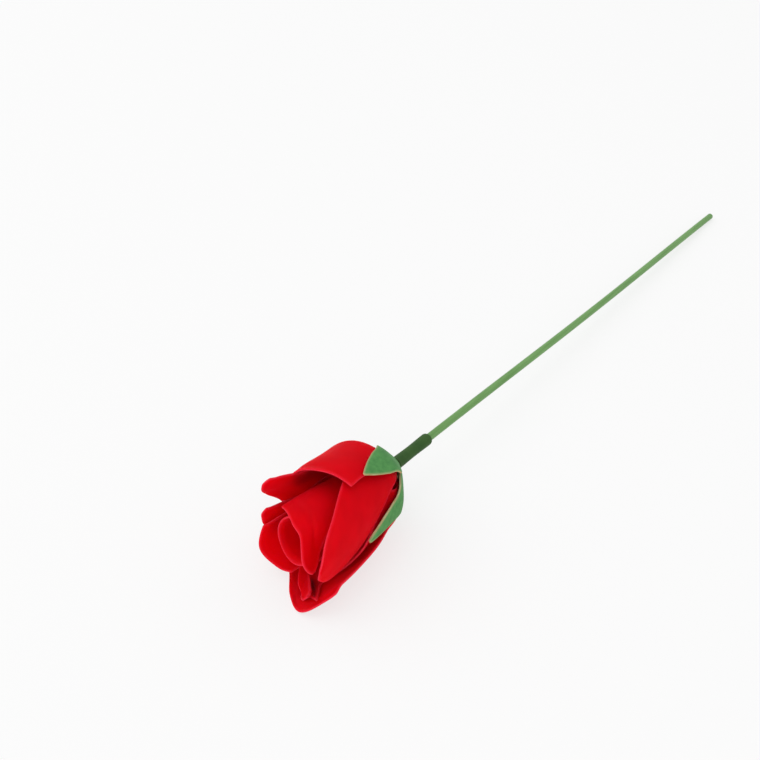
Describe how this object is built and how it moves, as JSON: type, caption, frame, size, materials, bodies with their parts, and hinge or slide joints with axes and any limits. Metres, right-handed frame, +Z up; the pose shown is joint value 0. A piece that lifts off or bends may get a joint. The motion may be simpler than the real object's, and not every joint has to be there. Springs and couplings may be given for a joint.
{
  "type": "artificial rose",
  "caption": "Artificial rose of smooth paper petals lapped around a rolled centre, with a pointed green calyx, a short sleeve and a long plain round stem.",
  "frame": {"origin": "on the table plane, under the middle of the whole rose as it lies", "axes": "+X along the stem from the flower to the cut end, +Z up, +Y to the side"},
  "size_m": [0.3896, 0.0422, 0.0418],
  "materials": {
    "petal": "smooth matte red sheet, lighter at the cut edges",
    "calyx": "smooth matte green sheet with pale cut edges",
    "sleeve": "dark green, matte",
    "stem": "light green, slightly glossy"
  },
  "bodies": {
    "root": {"stem_rod": "stem", "stem_sleeve": "sleeve", "calyx": "calyx", "outer_petal_top": "petal", "outer_petal_bottom": "petal", "outer_petal_front": "petal", "outer_petal_back": "petal", "middle_petal_top": "petal", "middle_petal_back": "petal", "middle_petal_bottom": "petal", "middle_petal_front": "petal", "inner_petal": "petal", "centre_roll": "petal"}
  },
  "joints": []
}
